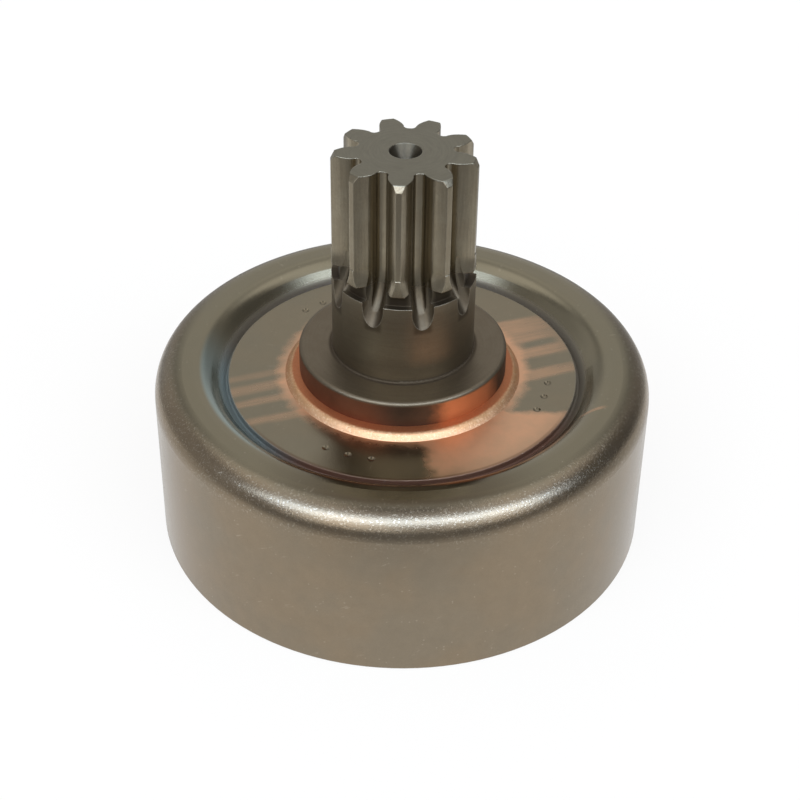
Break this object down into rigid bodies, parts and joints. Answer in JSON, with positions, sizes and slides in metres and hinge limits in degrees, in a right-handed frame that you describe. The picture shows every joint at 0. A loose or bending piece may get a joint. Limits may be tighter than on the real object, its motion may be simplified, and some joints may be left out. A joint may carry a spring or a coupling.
{
  "type": "clutch drum",
  "caption": "Drawn steel clutch drum, open below, with a grooved top and a toothed pinion, bearing seat and collar copper-brazed to its centre.",
  "frame": {"origin": "centre of the cup's open rim", "axes": "+Z along the drum's axis, from the open rim towards the pinion's toothed end"},
  "size_m": [0.06, 0.06, 0.0503],
  "materials": {
    "drum_steel": "satin",
    "pinion_steel": "satin",
    "braze_copper": "satin"
  },
  "bodies": {
    "root": {"drum_cup": "drum_steel", "pinion": "pinion_steel", "braze_fillet": "braze_copper"}
  },
  "joints": []
}
